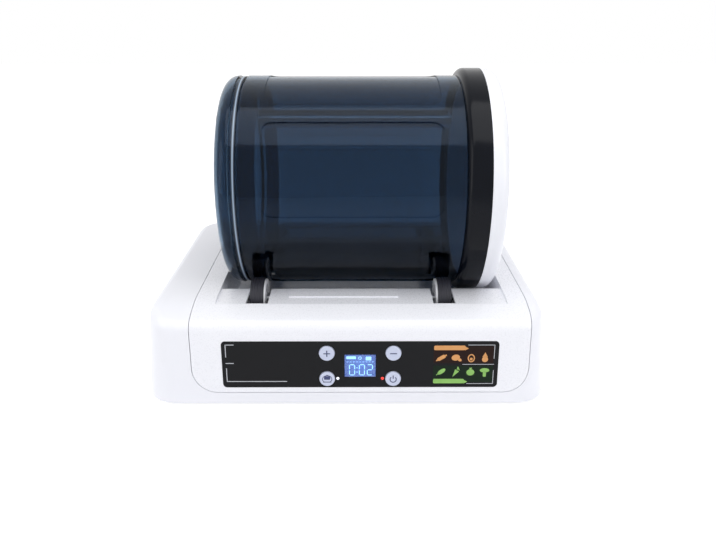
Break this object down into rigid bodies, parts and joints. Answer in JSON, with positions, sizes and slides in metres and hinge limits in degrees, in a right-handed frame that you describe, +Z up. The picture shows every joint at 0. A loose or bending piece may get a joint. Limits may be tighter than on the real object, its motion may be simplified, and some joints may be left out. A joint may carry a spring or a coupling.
{
  "type": "meat vacuum tumbler",
  "caption": "Table-top vacuum tumbler: tinted drum with a twist-off lid, turned by rubber rollers on a white base with a sloping control panel.",
  "frame": {"origin": "middle of the footprint at the table", "axes": "+X towards the drum's lid, along the drum axis; -Y towards the control panel; +Z up"},
  "size_m": [0.366, 0.2804, 0.281],
  "materials": {
    "white_housing": "semi-gloss moulded white",
    "tray_plastic": "matt moulded white",
    "smoke_plastic": "polished smoke-blue clear plastic",
    "seam_ring": "translucent grey ring",
    "black_collar": "high-gloss near black",
    "white_lid": "semi-gloss moulded white",
    "silicone": "soft translucent white silicone",
    "valve_knob": "satin grey",
    "tread_rubber": "matt black rubber",
    "white_hub": "moulded white",
    "shaft_steel": "ground steel",
    "bearing_plastic": "natural acetal",
    "screw_steel": "zinc-plated steel",
    "motor_steel": "plated sheet steel",
    "pump_plastic": "black moulding",
    "label_gloss": "glossy black film",
    "display_glass": "clear window",
    "display_frame": "blue-lit display",
    "circuit_board": "green solder mask",
    "component": "black components",
    "light_lens": "clear lens",
    "button_plastic": "silver-white moulding"
  },
  "bodies": {
    "base": {"base_tray": "tray_plastic", "bearing_screws": "screw_steel", "board_components": "component", "board_standoffs": "pump_plastic", "case_screws": "screw_steel", "console_cover": "white_housing", "control_label": "label_gloss", "display_board": "circuit_board", "display_module": "display_frame", "display_window": "display_glass", "drive_belt": "tread_rubber", "front_left_bearing": "bearing_plastic", "front_right_bearing": "bearing_plastic", "gear_motor": "motor_steel", "main_board": "circuit_board", "motor_bracket": "motor_steel", "motor_screws": "screw_steel", "outer_housing": "white_housing", "power_inlet": "pump_plastic", "pump_motor": "motor_steel", "pump_mount": "bearing_plastic", "rear_left_bearing": "bearing_plastic", "rear_right_bearing": "bearing_plastic", "rubber_feet": "tread_rubber", "status_lights": "light_lens", "suction_hose": "silicone", "suction_port": "pump_plastic", "tact_switches": "component", "vacuum_pump": "pump_plastic"},
    "drum": {"drum_barrel": "smoke_plastic", "drum_end_cap": "smoke_plastic", "end_cap_ring": "seam_ring", "mouth_collar": "black_collar"},
    "lid": {"drum_lid": "white_lid", "lid_seal": "silicone"},
    "valve": {"valve_plug": "silicone", "valve_knob": "valve_knob"},
    "front_rollers": {"front_roller_shaft": "shaft_steel", "front_left_hub": "white_hub", "front_left_tread": "tread_rubber", "front_right_hub": "white_hub", "front_right_tread": "tread_rubber"},
    "rear_rollers": {"rear_roller_shaft": "shaft_steel", "rear_left_hub": "white_hub", "rear_left_tread": "tread_rubber", "rear_right_hub": "white_hub", "rear_right_tread": "tread_rubber", "driven_pulley": "bearing_plastic"},
    "motor_pulley": {"drive_pulley": "bearing_plastic", "motor_shaft": "shaft_steel"},
    "plus_button": {"plus_button": "button_plastic"},
    "minus_button": {"minus_button": "button_plastic"},
    "vacuum_button": {"vacuum_button": "button_plastic"},
    "power_button": {"power_button": "button_plastic"}
  },
  "joints": [
    {"name": "drum_spin", "type": "hinge", "parent": "base", "child": "drum", "pos_m": [0.004, 0, 0.173], "axis": [1, 0, 0], "continuous": true},
    {"name": "front_roller_spin", "type": "hinge", "parent": "base", "child": "front_rollers", "pos_m": [0.004, -0.07468, 0.07741], "axis": [1, 0, 0], "continuous": true},
    {"name": "rear_roller_spin", "type": "hinge", "parent": "base", "child": "rear_rollers", "pos_m": [0.004, 0.07468, 0.07741], "axis": [1, 0, 0], "continuous": true},
    {"name": "motor_spin", "type": "hinge", "parent": "base", "child": "motor_pulley", "pos_m": [-0.128, 0.045, 0.034], "axis": [1, 0, 0], "continuous": true},
    {"name": "lid_turn", "type": "hinge", "parent": "drum", "child": "lid", "pos_m": [0.004, 0, 0.173], "axis": [1, 0, 0], "range_deg": [0, 30]},
    {"name": "valve_pull", "type": "slide", "parent": "lid", "child": "valve", "axis": [1, 0, 0], "range_m": [0, 0.003], "stiffness_N_per_m": 300},
    {"name": "plus_press", "type": "slide", "parent": "base", "child": "plus_button", "axis": [0, 0.9976, -0.0698], "range_m": [0, 0.0008], "stiffness_N_per_m": 400},
    {"name": "minus_press", "type": "slide", "parent": "base", "child": "minus_button", "axis": [0, 0.9976, -0.0698], "range_m": [0, 0.0008], "stiffness_N_per_m": 400},
    {"name": "vacuum_press", "type": "slide", "parent": "base", "child": "vacuum_button", "axis": [0, 0.9976, -0.0698], "range_m": [0, 0.0008], "stiffness_N_per_m": 400},
    {"name": "power_press", "type": "slide", "parent": "base", "child": "power_button", "axis": [0, 0.9976, -0.0698], "range_m": [0, 0.0008], "stiffness_N_per_m": 400}
  ],
  "couplings": [
    {"joint": "front_roller_spin", "follows": "drum_spin", "ratio": -5.05},
    {"joint": "rear_roller_spin", "follows": "drum_spin", "ratio": -5.05},
    {"joint": "motor_spin", "follows": "drum_spin", "ratio": -5.05}
  ]
}
